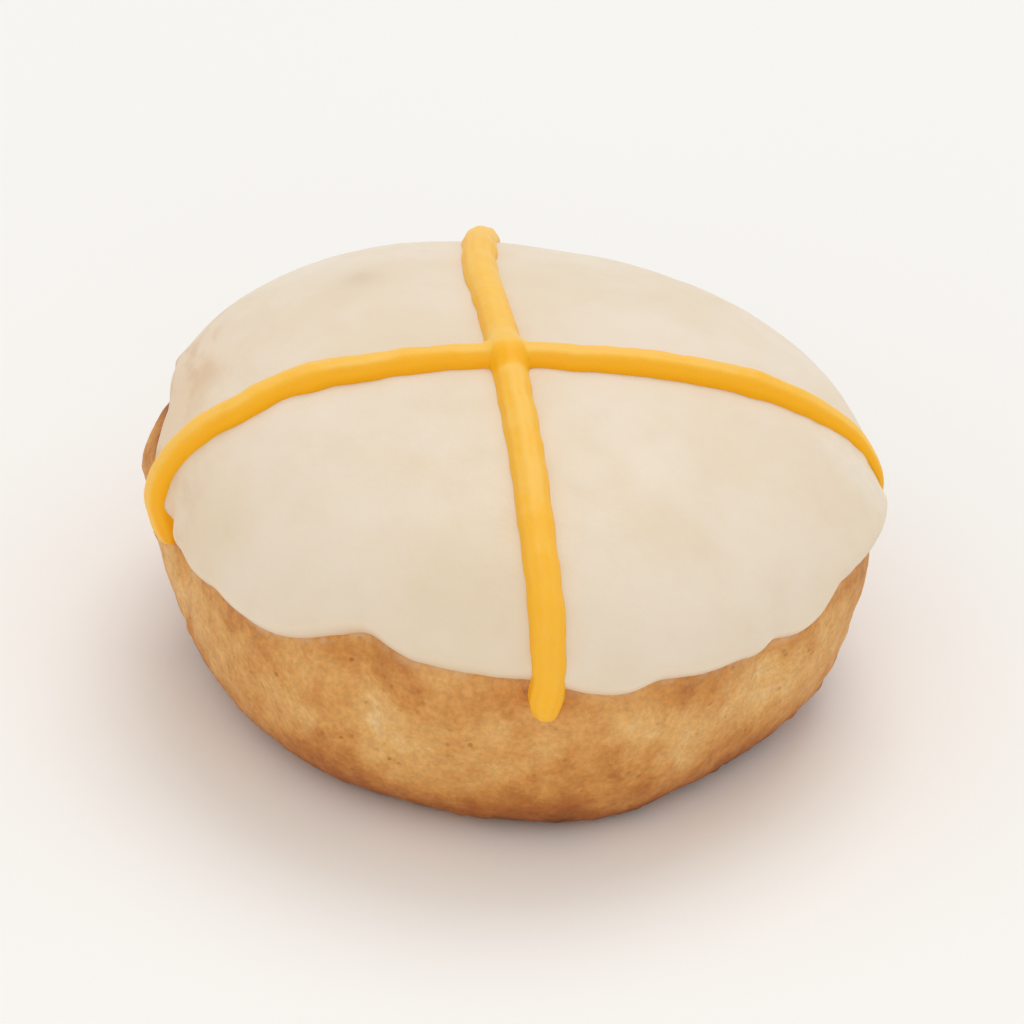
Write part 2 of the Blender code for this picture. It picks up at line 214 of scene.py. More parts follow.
def make_profile():
    """Radius, level, rise and travel along the outline from the crown to the underside's middle."""
    power = 2.0 / DOME_EXPONENT
    turn = np.linspace(0.0, math.pi / 2.0, PROFILE_STEPS + 1)
    t = np.linspace(0.0, 1.0, PROFILE_STEPS + 1)[1:]
    foot = FOOT_RADIUS / CRUST_RADIUS
    side = SIDE_HANDLE / WIDEST_HEIGHT
    roll = FOOT_HANDLE / CRUST_RADIUS
    dome_level = np.maximum(np.cos(turn), 0.0) ** power
    radius = np.concatenate((np.sin(turn) ** power, bezier(1.0, 1.0, foot + roll, foot, t), [0.0]))
    level = np.concatenate((dome_level, -bezier(0.0, side, 1.0, 1.0, t), [-1.0]))
    rise = np.where(level > 0.0, DOME_RISE, WIDEST_HEIGHT) * level
    steps = np.hypot(np.diff(radius * CRUST_RADIUS), np.diff(rise))
    side_length = float(steps[:-1].sum())
    steps[-1] *= UNDERSIDE_WEIGHT
    travel = np.concatenate(([0.0], np.cumsum(steps)))
    travel /= travel[-1]
    return radius, level, rise, travel, float(travel[-2]) / side_length


PROFILE_RADIUS, PROFILE_LEVEL, PROFILE_RISE, PROFILE_TRAVEL, TRAVEL_PER_METRE = make_profile()


def radius_at(travel):
    return np.interp(travel, PROFILE_TRAVEL, PROFILE_RADIUS)


def level_at(travel):
    return np.interp(travel, PROFILE_TRAVEL, PROFILE_LEVEL)


def rise_at(travel):
    return np.interp(travel, PROFILE_TRAVEL, PROFILE_RISE)


def travel_at(rise):
    return np.interp(-rise, -PROFILE_RISE, PROFILE_TRAVEL)


def turned(angle):
    """The same angle between -pi and pi."""
    return (angle + math.pi) % math.tau - math.pi


def wave(angle, waves):
    total = 0.0
    for count, height, crest in waves:
        total = total + height * np.cos(count * (angle - math.radians(crest)))
    return total


def noise_at(points, wavelength, offset=(0.0, 0.0, 0.0)):
    """Smooth noise, about -1 to 1, at each of the points."""
    flat = (points.reshape(-1, 3) / wavelength + np.array(offset)).tolist()
    return np.array([noise.noise(place) for place in flat]).reshape(points.shape[:-1])


def octaves(points, table):
    """The sum of some noises, each with its height and wavelength."""
    total = 0.0
    step, shift = OCTAVE_SHIFT
    for index, (height, wavelength) in enumerate(table):
        total = total + height * noise_at(points, wavelength, (index * step, SEED, shift))
    return total


def creases():
    """The direction of each crease, how it leans and its share of the full depth."""
    draw = random.Random(SEED)
    places = []
    for index in range(CREASE_COUNT):
        place = index + draw.uniform(-CREASE_SCATTER, CREASE_SCATTER)
        lean = draw.uniform(-CREASE_LEAN, CREASE_LEAN)
        share = draw.uniform(*CREASE_SHARES)
        places.append((math.tau * place / CREASE_COUNT, lean, share))
    return places


CREASES = creases()


def crease_depth(angle, level):
    low, high = CREASE_LEVELS
    fade = np.sin(math.pi * np.clip((level - low) / (high - low), 0.0, 1.0))
    depth = 0.0
    for middle, lean, share in CREASES:
        off = turned(angle - middle - lean * level) * CRUST_RADIUS
        depth = depth + share * np.exp(-((off / CREASE_WIDTH) ** 2))
    return CREASE_DEPTH * fade * depth


def shoulder_height(angle, radius, level):
    direction, share, reach, height = SHOULDER
    turn = math.radians(direction)
    spot = np.stack((radius * np.cos(angle), radius * np.sin(angle), np.minimum(level, 0.0)), -1)
    middle = np.array((share * math.cos(turn), share * math.sin(turn), 0.0))
    off = np.linalg.norm(spot - middle, axis=-1) * CRUST_RADIUS / reach
    return height * np.exp(-(off**2))


def nearness(angle, direction, half_angle):
    """1 in a direction, and 0 well away from it."""
    off = np.degrees(turned(angle - math.radians(direction)))
    return np.exp(-((off / half_angle) ** 2))


def bareness(angle):
    """1 in the middle of the stretch where the icing ends high, and 0 away from it."""
    direction, half_angle, _ = BARE_SIDE
    return nearness(angle, direction, half_angle)


def edge_level(angle):
    return ICING_EDGE + wave(angle, EDGE_WAVES) + BARE_SIDE[2] * bareness(angle)


def bare_swell(angle, rise):
    direction, half_angle, height = BARE_SWELL
    below = (edge_level(angle) - BARE_SWELL_START - rise) / BARE_SWELL_REACH
    above_base = np.maximum(0.0, 1.0 + rise / WIDEST_HEIGHT)
    return height * nearness(angle, direction, half_angle) * np.clip(below, 0.0, 1.0) * above_base


def surface(angle, travel, grow=0.0, bare=True, creased=True):
    """Points of the bun's surface, as the part's source has them, for arrays of places."""
    radius = radius_at(travel)
    level = level_at(travel)
    dome = np.maximum(level, 0.0)
    place = np.stack((radius * np.cos(angle), radius * np.sin(angle), level), -1) * CRUST_RADIUS
    relief = RELIEF_HEIGHT * noise_at(place, RELIEF_WAVELENGTH, (SEED, 0.0, 0.0))
    relief *= 1.0 - np.maximum(-level, 0.0) ** 4
    relief += shoulder_height(angle, radius, level)
    if bare:
        relief += bare_swell(angle, rise_at(travel))
    if creased:
        relief -= crease_depth(angle, level)
    plan = 1.0 + wave(angle, PLAN_WAVES) + wave(angle, FOOT_WAVES) * np.maximum(-level, 0.0) ** 2
    reach = (CRUST_RADIUS * plan + grow + relief) * radius
    height = WIDEST_HEIGHT * (1.0 + np.minimum(level, 0.0)) + (DOME_RISE + grow + relief) * dome
    return np.stack((
        reach * np.cos(angle) + CROWN_LEAN[0] * dome,
        reach * np.sin(angle) + CROWN_LEAN[1] * dome,
        height,
    ), -1)


# ---- Meshes from grids of points ----

def grid_normals(grid):
    """Outward directions of a closed grid of points: rings from top to bottom, segments round."""
    down = np.gradient(grid, axis=0)
    round_ = np.roll(grid, -1, axis=1) - np.roll(grid, 1, axis=1)
    out = np.cross(down, round_)
    length = np.linalg.norm(out, axis=-1, keepdims=True)
    return out / np.maximum(length, 1e-12)


def closed_mesh(name, grid, marks):
    """A closed mesh through a grid of rings, with its first and last ring drawn into a point.

    marks gives named numbers for each point of the grid, which the materials read.
    """
    rings, segments = grid.shape[:2]
    body = grid[1:-1].reshape(-1, 3)
    points = np.concatenate((grid[:1, :].mean(1), body, grid[-1:, :].mean(1)))
    index = np.arange(len(body)).reshape(rings - 2, segments) + 1
    beside = np.roll(index, -1, axis=1)
    quads = np.stack((index[:-1], index[1:], beside[1:], beside[:-1]), -1).reshape(-1, 4)
    last = len(points) - 1
    caps = [(0, a, b) for a, b in zip(index[0].tolist(), beside[0].tolist())]
    caps += [(last, b, a) for a, b in zip(index[-1].tolist(), beside[-1].tolist())]
    mesh = bpy.data.meshes.new(name)
    mesh.from_pydata(points.tolist(), [], quads.tolist() + caps)
    for label, values in marks.items():
        column = np.concatenate((
            values[:1, :].mean(1), values[1:-1].reshape(-1), values[-1:, :].mean(1),
        ))
        mesh.attributes.new(label, "FLOAT", "POINT").data.foreach_set("value", column)
    mesh.shade_smooth()
    return mesh


def tree_of(mesh):
    return BVHTree.FromPolygons(
        [corner.co for corner in mesh.vertices], [face.vertices for face in mesh.polygons]
    )


def piece(mesh, node, finish):
    """A visible piece that rides on the bun's body and stands for one of its nodes."""
    made = bpy.data.objects.new(mesh.name, mesh)
    bpy.context.scene.collection.objects.link(made)
    mesh.materials.append(finish)
    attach(made, "root")
    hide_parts(node)


# ---- The crust ----

def cell_bumps(points, cell, radius):
    """Round bumps, 0 to 1, one near the middle of each cell of a seeded scatter."""
    flat = (points.reshape(-1, 3) / cell + SEED).tolist()
    near = np.array([noise.voronoi(place)[0][0] for place in flat]).reshape(points.shape[:-1])
    return np.clip(1.0 - near * cell / radius, 0.0, 1.0)


def stretched(points, angle):
    """The points in the lengths along and across the wrinkles, which run round the side."""
    along, across = WRINKLE_LENGTHS
    return np.stack((
        np.cos(angle) * CRUST_RADIUS / along,
        np.sin(angle) * CRUST_RADIUS / along,
        points[..., 2] / across,
    ), -1)


def crust_grid():
    """The crust's points with their fine relief, and the marks that its material reads."""
    fine_from = float(travel_at(CRUST_SHOWS_FROM))
    foot = float(PROFILE_TRAVEL[-2])
    rows = np.concatenate((
        np.linspace(0.0, fine_from, CRUST_HIDDEN_RINGS, endpoint=False),
        np.linspace(fine_from, foot, CRUST_SIDE_RINGS, endpoint=False),
        np.linspace(foot, 1.0, CRUST_FOOT_RINGS),
    ))
    round_ = np.linspace(0.0, math.tau, CRUST_SEGMENTS, endpoint=False)
    travel, angle = np.meshgrid(rows, round_, indexing="ij")
    plain = surface(angle, travel)
    level = level_at(travel)
    side = np.clip((foot - travel) / TRAVEL_PER_METRE / FOOT_FADE, 0.0, 1.0)

    skin = octaves(plain, SKIN)
    blisters = cell_bumps(plain, BLISTER_CELL, BLISTER_RADIUS)
    blisters = blisters**2 * (3.0 - 2.0 * blisters)
    wrinkles = np.abs(noise_at(stretched(plain, angle), 1.0, (0.0, SEED, 0.0)))
    wrinkles = 1.0 - wrinkles * WRINKLE_SHARPNESS
    relief = skin + BLISTER_HEIGHT * blisters + WRINKLE_HEIGHT * np.minimum(wrinkles, 0.0)
    on_side = relief * (FOOT_RELIEF + (1.0 - FOOT_RELIEF) * side)
    relief = np.where(travel < foot, on_side, -np.abs(relief) * FOOT_RELIEF)
    shaped = plain + grid_normals(plain) * relief[..., None]
    shaped[..., 2] = np.maximum(shaped[..., 2], 0.0)

    marks = {
        "level": level,
        "relief": relief / RELIEF_UNIT,
        "crease": crease_depth(angle, level) / CREASE_DEPTH,
        "from_icing": (fine_edge(round_)[None, :] - rise_at(travel)) / NEAR_ICING,
        "bare": np.broadcast_to(bareness(angle), level.shape),
    }
    return shaped, marks


# ---- The icing ----

def fine_edge(angle):
    """The icing's edge with its drips and ripples, as a height over the widest level."""
    rim = np.stack((np.cos(angle), np.sin(angle), np.zeros_like(angle)), -1) * CRUST_RADIUS
    drips = np.hypot(noise_at(rim, DRIP_LENGTH, (0.0, SEED, 0.0)), DRIP_ROUNDING)
    return edge_level(angle) + DRIP_HEIGHT * (DRIP_MEAN - drips) + octaves(rim, EDGE_RIPPLE)


def raisin_nearness(points):
    place, reach = RAISIN
    return np.exp(-2.0 * (np.linalg.norm(points - place, axis=-1) / reach) ** 2)


def full_thickness(angle, travel):
    outwards = np.stack((np.cos(angle), np.sin(angle), np.zeros_like(angle)), -1)
    place = outwards * travel[..., None] * UNEVENNESS_WAVES
    return ICING_THICKNESS + ICING_UNEVENNESS * noise_at(place, 1.0, (0.0, SEED, 0.0))


def lumpiness(angle, rise):
    """1 in the middle of the rough patch, and 0 away from it."""
    direction, height, reach = LUMPS
    aside = turned(angle - math.radians(direction)) * CRUST_RADIUS
    return np.exp(-((aside**2 + (rise - height) ** 2) / reach**2))


def icing_grid():
    """The coat's points, from the crown over its lip and back inside, and its marks."""
    share = np.linspace(0.0, 1.0, ICING_OUTER_RINGS)
    rows = 1.0 - (1.0 - share) ** EDGE_CROWDING
    round_ = np.linspace(0.0, math.tau, ICING_SEGMENTS, endpoint=False)
    part, angle = np.meshgrid(rows, round_, indexing="ij")
    edge = travel_at(fine_edge(round_))[None, :]
    travel = part * edge
    level = level_at(travel)
    rise = rise_at(travel)

    to_edge = (edge - travel) / TRAVEL_PER_METRE
    lip = np.minimum(to_edge / (ICING_LIP + BARE_LIP * bareness(angle)), 1.0)
    lip = np.sqrt(np.maximum(1.0 - (1.0 - lip) ** 2, 0.0))
    bead_at, bead_reach = ICING_BEAD_PLACE
    bead = np.exp(-(((to_edge - bead_at) / bead_reach) ** 2)) * (1.0 - bareness(angle))
    depth = (GAP + full_thickness(angle, travel) + ICING_BEAD * bead + ICING_SINK) * lip
    follow = crease_depth(angle, level) * np.exp(-((to_edge / CREASE_FOLLOW) ** 2))
    plain = surface(angle, travel, depth - ICING_SINK - follow, bare=False, creased=False)

    lumps = lumpiness(angle, rise)
    relief = octaves(plain, ICING_SKIN) * (EDGE_RELIEF + (1.0 - EDGE_RELIEF) * lip)
    relief += LUMP_HEIGHT * lumps * noise_at(plain, LUMP_LENGTH, (0.0, 0.0, SEED))
    relief += RAISIN_RISE * raisin_nearness(plain)
    outer = plain + grid_normals(plain) * relief[..., None]

    inner_share = np.linspace(1.0, 0.0, ICING_INNER_RINGS + 1)[1:]
    inner_part, inner_angle = np.meshgrid(inner_share, round_, indexing="ij")
    inner_travel = inner_part * edge
    sunk = -ICING_SINK - crease_depth(inner_angle, level_at(inner_travel))
    inner = surface(inner_angle, inner_travel, sunk, bare=False, creased=False)

    thin = nearness(angle, BARE_SIDE[0], THIN_HALF_ANGLE) * np.exp(-((to_edge / THIN_REACH) ** 2))

    def whole(values, inside):
        return np.concatenate((values, np.full(inner.shape[:2], inside)))

    marks = {
        "thin": whole(thin, 0.0),
        "rim": whole(np.exp(-to_edge / RIM_WIDTH), 1.0),
        "lumps": whole(lumps, 0.0),
        "raisin": whole(raisin_nearness(plain), 0.0),
    }
    return np.concatenate((outer, inner)), marks


# ---- The piped cross ----

def outermost(trees, start, direction):
    hits = [tree.ray_cast(start, direction) for tree in trees]
    hits = [hit for hit in hits if hit[0] is not None]
    return min(hits, key=lambda hit: (hit[0] - start).length)


def blurred(values, spacing, reach):
    """The values smoothed along their first axis, over a reach in metres."""
    half = max(1, round(3.0 * reach / spacing))
    steps = np.arange(-half, half + 1) * spacing
    weights = np.exp(-0.5 * (steps / reach) ** 2)
    weights /= weights.sum()
    padded = np.concatenate((
        2.0 * values[:1] - values[half:0:-1], values, 2.0 * values[-1:] - values[-2:-half - 2:-1],
    ))
    if values.ndim == 1:
        return np.convolve(padded, weights, mode="valid")
    return np.stack([np.convolve(column, weights, mode="valid") for column in padded.T], -1)


def eased(value, table):
    """The height at a value of a smooth line through a table of values and heights."""
    for (start, low), (end, high) in zip(table, table[1:]):
        if value <= end:
            share = max(value - start, 0.0) / (end - start)
            return low + (high - low) * share * share * (3.0 - 2.0 * share)
    return table[-1][1]


def end_taper(strand, from_start, from_end):
    left = 1.0
    ends = zip((from_start, from_end), strand["tapers"], strand["powers"], strand["tips"])
    for distance, taper, power, tip in ends:
        share = np.minimum(distance / taper, 1.0)
        left = left * (tip + (1.0 - tip) * np.maximum(share * (2.0 - share), 0.0) ** power)
    return left


def strand_path(trees, strand):
    """Places on the coated bun under a strand's middle line, their normals and their lengths."""
    heading = math.radians(strand["heading"])
    along = Vector((math.cos(heading), math.sin(heading), 0.0))
    across = Vector((-along.y, along.x, 0.0))
    heart = Vector((*CROSSING, STRAND_HEART))
    start, end = (math.radians(angle) for angle in strand["ends"])
    insides = []
    rays = []
    reaches = []
    normals = []
    for turn in np.linspace(math.pi + start, -end, RAY_COUNT):
        bow = eased(90.0 - math.degrees(turn), strand["bows"])
        ray = along * math.cos(turn) + Vector((0.0, 0.0, math.sin(turn)))
        inside = heart + across * bow
        spot, normal = outermost(trees, inside + ray * 2.0 * CRUST_RADIUS, -ray)[:2]
        insides.append(inside)
        rays.append(ray)
        reaches.append((spot - inside).length)
        normals.append(normal)
    insides, rays, reaches, normals = (np.array(v) for v in (insides, rays, reaches, normals))
    steps = np.diff(insides + rays * reaches[:, None], axis=0)
    spacing = float(np.linalg.norm(steps, axis=1).mean())
    bridged = np.maximum(reaches, blurred(reaches, spacing, BRIDGING))
    spots = insides + rays * blurred(bridged, spacing, ROUNDING)[:, None]
    normals = blurred(normals, spacing, BRIDGING)
    normals /= np.linalg.norm(normals, axis=1, keepdims=True)
    lengths = np.concatenate(([0.0], np.cumsum(np.linalg.norm(np.diff(spots, axis=0), axis=1))))
    return spots, normals, lengths, np.array(across), np.array(heart), heading


def strand_line(trees, strand, over, nudges=()):
    """A strand's middle line from end to end, its radius, and its directions aside and outwards.

    over is 1 for the strand that passes over the other one, and 0 for that one.
    """
    spots, normals, lengths, across, heart, heading = strand_path(trees, strand)
    whole = lengths[-1]
    even = np.linspace(0.0, 1.0, STRAND_RINGS)
    at = whole * (even - STRAND_CROWDING * np.sin(math.tau * even) / math.tau)
    spots, normals = (
        np.stack([np.interp(at, lengths, column) for column in values.T], -1)
        for values in (spots, normals)
    )
    taper = end_taper(strand, at, whole - at)
    places = np.stack((at, np.full_like(at, SEED), np.full_like(at, heading)), -1)
    sway = STRAND_WOBBLE * noise_at(places / (SWAY_LENGTH, 1.0, 1.0), 1.0)
    places = np.stack((at / SWELL_LENGTH, np.full_like(at, heading), np.full_like(at, SEED)), -1)
    swell = STRAND_SWELL * noise_at(places, 1.0)
    off = np.linalg.norm((spots - heart)[:, :2], axis=1)
    near = (np.cos(math.pi * np.minimum(off / CROSSING_REACH, 1.0)) + 1.0) / 2.0
    hump = over * CROSSING_RISE * near
    lift = TIP_LIFT * (1.0 - taper) + hump
    radius = STRAND_RADIUS * (1.0 + swell) * taper
    for place, height, reach in nudges:
        radius += height * np.exp(-(((spots[:, 0] - heart[0] - place) / reach) ** 2))
    last = np.clip(np.minimum(at, whole - at) / TIP_ROUNDING, 0.0, 1.0)
    radius *= np.sqrt(last * (2.0 - last))

    middle = spots + normals * lift[:, None] + across * sway[:, None]
    tangent = np.gradient(middle, axis=0)
    tangent /= np.linalg.norm(tangent, axis=1, keepdims=True)
    aside = np.cross(normals, tangent)
    aside /= np.linalg.norm(aside, axis=1, keepdims=True)
    return {
        "at": at, "heading": heading, "middle": middle, "radius": radius,
        "aside": aside, "out": np.cross(tangent, aside),
        "climb": np.maximum(np.gradient(hump, at), 0.0),
        "crossing": off < FILLET_REACH,
    }


def gap_to(points, line):
    """How far points lie outside the round tube along a strand's middle line."""
    middle = line["middle"][line["crossing"]]
    radius = line["radius"][line["crossing"]]
    return (np.linalg.norm(points[:, None, :] - middle, axis=-1) - radius).min(axis=1)


def fillet(points, away, line):
    """How far points of one strand move away from its middle to blend with the other strand.

    Past the seam, where they come nearer to the other strand, they sink below its surface. The
    second result is 0 at the seam and 1 away from it.
    """
    moved = np.zeros(len(points))
    for _ in range(FILLET_ROUNDS):
        gap = gap_to(points + away * moved[:, None], line)
        near = np.maximum(FILLET - np.abs(gap - moved), 0.0) / FILLET
        blend = np.minimum(gap, moved) - near**2 * FILLET / 4.0
        moved = np.clip(moved - blend, 0.0, FILLET * FILLET_MOST)
    gap = gap_to(points + away * moved[:, None], line)
    past = np.clip((moved - gap) / SEAM_WIDTH, 0.0, 1.0)
    return moved - SEAM_SINK * past, np.clip(np.abs(gap - moved) / FILLET, 0.0, 1.0)


def strand_grid(line, other, depth):
    """The rings of one strand from its start to its end, blended with the other, and its marks.

    depth is how much painted shade deepens the strand's colour down its sides.
    """
    turn = np.linspace(0.0, math.tau, STRAND_SIDES, endpoint=False)
    flare_at, flare_width, flare = FLARE
    from_below = np.abs(turned(turn - math.pi * 1.5))
    foot = np.exp(-((from_below - math.radians(flare_at)) / flare_width) ** 2)
    away = (
        line["aside"][:, None, :] * np.cos(turn)[None, :, None]
        + line["out"][:, None, :] * np.sin(turn)[None, :, None]
    )
    reach = line["radius"][:, None] * (1.0 + flare * foot)[None, :]
    middle = line["middle"][:, None, :]
    grid = middle + away * reach[..., None]

    at = line["at"]
    places = np.stack((at, np.full_like(at, line["heading"]), np.zeros_like(at)), -1)
    mean_strength, strength_length = RIDGE_STRENGTH
    most_twist, twist_length = RIDGE_TWIST
    strength = mean_strength + noise_at(places / (strength_length, 1.0, 1.0), 1.0)
    twist = most_twist * noise_at(places / (twist_length, 1.0, 1.0), 1.0, (SEED, 0.0, 0.0))
    ridges = strength[:, None] * np.cos(RIDGES * turn[None, :] + twist[:, None])
    relief = RIDGE_HEIGHT * ridges + octaves(grid, STRAND_SKIN)
    relief *= np.minimum(line["radius"] / STRAND_RADIUS, 1.0)[:, None]
    close = line["crossing"]
    blended, free = fillet(grid[close].reshape(-1, 3), away[close].reshape(-1, 3), other)
    relief[close] *= free.reshape(-1, STRAND_SIDES)
    relief[close] += blended.reshape(-1, STRAND_SIDES)
    grid = grid + away * relief[..., None]
    # Painted shade: deeper towards the front of the strand's length and where the upper one climbs
    # over the other.
    along = 1.0 + FRONT_PAINTED_SHADE * line["out"][:, 1] - CLIMB_PAINTED_SHADE * line["climb"]
    marks = {
        # A painted sheen on the strand's top and painted shade down its sides.
        "painted_sheen_and_shade": along[:, None] - depth * (1.0 - np.sin(turn)[None, ::-1]),
        # Painted shade in the grooves between the nozzle's ridges, and paler painted crests.
        "painted_ridge_shade": ridges[:, ::-1],
    }
    return grid[:, ::-1], marks


# ---- Materials ----

# How brown the crust is by height, both as shares, from the foot to well under the icing.
BAKE_BY_HEIGHT = ((0.0, 0.84), (0.18, 0.44), (0.42, 0.36), (0.66, 0.52), (0.90, 0.585), (1.0, 0.66))


def linear(red, green, blue):
    """A colour given in the 0 to 255 steps of a screen."""
    colour = []
    for value in (red, green, blue):
        share = value / 255.0
        colour.append(share / 12.92 if share <= 0.04045 else ((share + 0.055) / 1.055) ** 2.4)
    return (*colour, 1.0)


class Finish:
    """A material and short ways to add nodes to it."""

    def __init__(self, name):
        self.material = bpy.data.materials.new(name)
        self.material.use_nodes = True
        self.tree = self.material.node_tree
        self.shader = self.tree.nodes["Principled BSDF"]
        self.place = self.add("TexCoord").outputs["Object"]

    def add(self, kind, inputs=None, **settings):
        made = self.tree.nodes.new("ShaderNode" + kind)
        for name, value in settings.items():
            setattr(made, name, value)
        for name, value in (inputs or {}).items():
            self.feed(made.inputs[name], value)
        return made

    def feed(self, socket, value):
        if isinstance(value, bpy.types.NodeSocket):
            self.tree.links.new(value, socket)
        else:
            socket.default_value = value

    def set(self, **values):
        for name, value in values.items():
            self.feed(self.shader.inputs[name.replace("_", " ")], value)

    def mark(self, name):
        return self.add("Attribute", attribute_name=name).outputs["Fac"]

    def noise(self, size, detail, roughness=0.5, stretch=None):
        """Noise of 0 to 1 with patches of about a size in metres."""
        place = self.place
        if stretch:
            place = self.add("Mapping", {"Vector": place, "Scale": stretch}).outputs["Vector"]
        return self.add("TexNoise", {
            "Vector": place, "Scale": 1.0 / size, "Detail": detail, "Roughness": roughness,
        }).outputs["Fac"]

    def cells(self, size):
        """Distance from the nearest of some scattered points, a size in metres apart."""
        return self.add("TexVoronoi", {
            "Vector": self.place, "Scale": 1.0 / size,
        }).outputs["Distance"]

    def math(self, operation, *values):
        return self.add("Math", dict(enumerate(values)), operation=operation).outputs["Value"]

    def spread(self, value, low, high, new_low=0.0, new_high=1.0):
        """The value with one span of it stretched to another, and held at the span's ends."""
        return self.add("MapRange", {
            "Value": value, "From Min": low, "From Max": high,
            "To Min": new_low, "To Max": new_high,
        }, interpolation_type="SMOOTHSTEP").outputs["Result"]

    def ramp(self, value, *stops):
        made = self.add("ValToRGB", {"Fac": value})
        marks = made.color_ramp.elements
        while len(marks) < len(stops):
            marks.new(0.5)
        for mark, (position, colour) in zip(marks, stops):
            mark.position = position
            mark.color = colour
        return made.outputs["Color"]

    def curve(self, value, table):
        """A smooth line through a table of values and results, in order from 0 to 1."""
        made = self.add("FloatCurve", {"Value": value})
        line = made.mapping.curves[0]
        for place, height in table[1:-1]:
            line.points.new(place, height)
        for point, place in zip(line.points, table):
            point.location = place
        made.mapping.update()
        return made.outputs["Value"]

    def mix(self, share, below, above, blend="MIX"):
        made = self.add("Mix", data_type="RGBA", blend_type=blend)
        for name, value in (("Factor", share), ("A", below), ("B", above)):
            socket = next(s for s in made.inputs if s.name == name and s.enabled)
            self.feed(socket, value)
        return next(s for s in made.outputs if s.enabled)

    def bump(self, height, distance, after=None):
        inputs = {"Height": height, "Distance": distance}
        if after:
            inputs["Normal"] = after
        return self.add("Bump", inputs).outputs["Normal"]


def bake_share(finish, patches, mottle):
    """How brown the crust is at each place: by its height, its patches and its relief."""
    bake = finish.curve(finish.spread(finish.mark("level"), -1.0, 0.5), BAKE_BY_HEIGHT)
    bake = finish.math("ADD", bake, finish.spread(patches, 0.25, 0.75, -0.13, 0.13))
    bake = finish.math("ADD", bake, finish.spread(mottle, 0.25, 0.75, -0.08, 0.08))
    bake = finish.math("ADD", bake, finish.spread(finish.mark("relief"), -1.0, 1.0, -0.14, 0.14))
    return finish.math("SUBTRACT", bake, finish.math("MULTIPLY", finish.mark("crease"), 0.12))


def crust_finish():
    """Golden baked crust, browner at the top and round the foot and paler between."""
    finish = Finish("baked_crust")
    bare = finish.mark("bare")
    patches = finish.noise(0.011, detail=4.0, roughness=0.55)
    mottle = finish.noise(0.0026, detail=5.0, roughness=0.62)
    grain = finish.noise(0.0007, detail=4.0, roughness=0.6)
    colour = finish.ramp(
        bake_share(finish, patches, mottle),
        (0.00, linear(240, 208, 154)),
        (0.25, linear(230, 178, 106)),
        (0.50, linear(211, 145, 71)),
        (0.72, linear(178, 105, 43)),
        (1.00, linear(116, 60, 24)),
    )
    speckle = finish.spread(grain, 0.30, 0.70, 0.88, 1.10)
    speckles = finish.add("CombineColor", {"Red": speckle, "Green": speckle, "Blue": speckle})
    colour = finish.mix(1.0, colour, speckles.outputs["Color"], blend="MULTIPLY")
    # Pits in the crust: the same mask sinks them in the bump and darkens their colour as painted
    # shade.
    pores = finish.spread(finish.cells(0.0015), 0.06, 0.26)
    pits_and_painted_shade = finish.math("SUBTRACT", 1.0, pores)
    pits_and_painted_shade = finish.math("MULTIPLY", pits_and_painted_shade, finish.spread(mottle, 0.42, 0.62))
    colour = finish.mix(finish.math("MULTIPLY", pits_and_painted_shade, 0.30), colour, linear(122, 66, 28))
    smear = finish.spread(finish.mark("from_icing"), 0.02, 0.16, 0.45, 0.0)
    smear = finish.math("MULTIPLY", smear, finish.spread(mottle, 0.40, 0.62))
    smear = finish.math("MULTIPLY", smear, finish.math("SUBTRACT", 1.0, bare))
    colour = finish.mix(smear, colour, linear(232, 200, 158))
    # Painted shadow: a thin dark line on the bare crust just below the icing's high edge, where its
    # shade falls.
    line = finish.spread(finish.mark("from_icing"), 0.02, 0.14, 0.65, 0.0)
    line = finish.math("MULTIPLY", bare, line)
    colour = finish.mix(line, colour, linear(128, 68, 30))

    fine = finish.math("MULTIPLY", mottle, 0.6)
    fine = finish.math("ADD", fine, finish.math("MULTIPLY", grain, 0.4))
    normal = finish.bump(fine, 0.00060)
    normal = finish.bump(pits_and_painted_shade, -0.00014, after=normal)
    finish.set(
        Base_Color=colour, Normal=normal,
        Roughness=finish.spread(patches, 0.3, 0.7, 0.52, 0.70),
        Specular_IOR_Level=0.38, Subsurface_Weight=0.06, Subsurface_Scale=0.0015,
        Subsurface_Radius=(1.0, 0.45, 0.2),
    )
    return finish.material


def icing_finish():
    """Pale cream icing, smooth and softly satin, with the crust showing where it is thin."""
    finish = Finish("icing")
    thin = finish.mark("thin")
    drift = finish.noise(0.016, detail=3.0)
    cloud = finish.noise(0.0045, detail=4.0, roughness=0.55)
    fine = finish.noise(0.0011, detail=3.0)
    smears = finish.noise(0.0028, detail=2.5, stretch=(1.0, 0.35, 1.0))
    drift = finish.spread(drift, 0.3, 0.7)
    colour = finish.mix(drift, linear(233, 216, 190), linear(237, 223, 204))
    dull = finish.spread(cloud, 0.45, 0.75, 0.0, 0.16)
    colour = finish.mix(dull, colour, linear(226, 204, 174))
    shows = finish.math("MULTIPLY", thin, finish.spread(smears, 0.44, 0.66))
    for place, share, tint in (
        (finish.mark("raisin"), 0.34, linear(196, 172, 146)),
        (thin, 0.52, linear(227, 192, 150)),
        (shows, 0.55, linear(206, 156, 106)),
        (finish.mark("lumps"), 0.45, linear(242, 234, 221)),
        (finish.mark("rim"), 0.55, linear(212, 172, 122)),
    ):
        colour = finish.mix(finish.math("MULTIPLY", place, share), colour, tint)

    normal = finish.bump(cloud, 0.00012)
    normal = finish.bump(fine, 0.00004, after=normal)
    normal = finish.bump(finish.math("MULTIPLY", thin, smears), 0.00006, after=normal)
    finish.set(
        Base_Color=colour, Normal=normal,
        Roughness=finish.spread(cloud, 0.3, 0.7, 0.42, 0.54),
        Specular_IOR_Level=0.42, Subsurface_Weight=0.18, Subsurface_Scale=0.0014,
        Subsurface_Radius=(1.0, 0.70, 0.45),
    )
    return finish.material


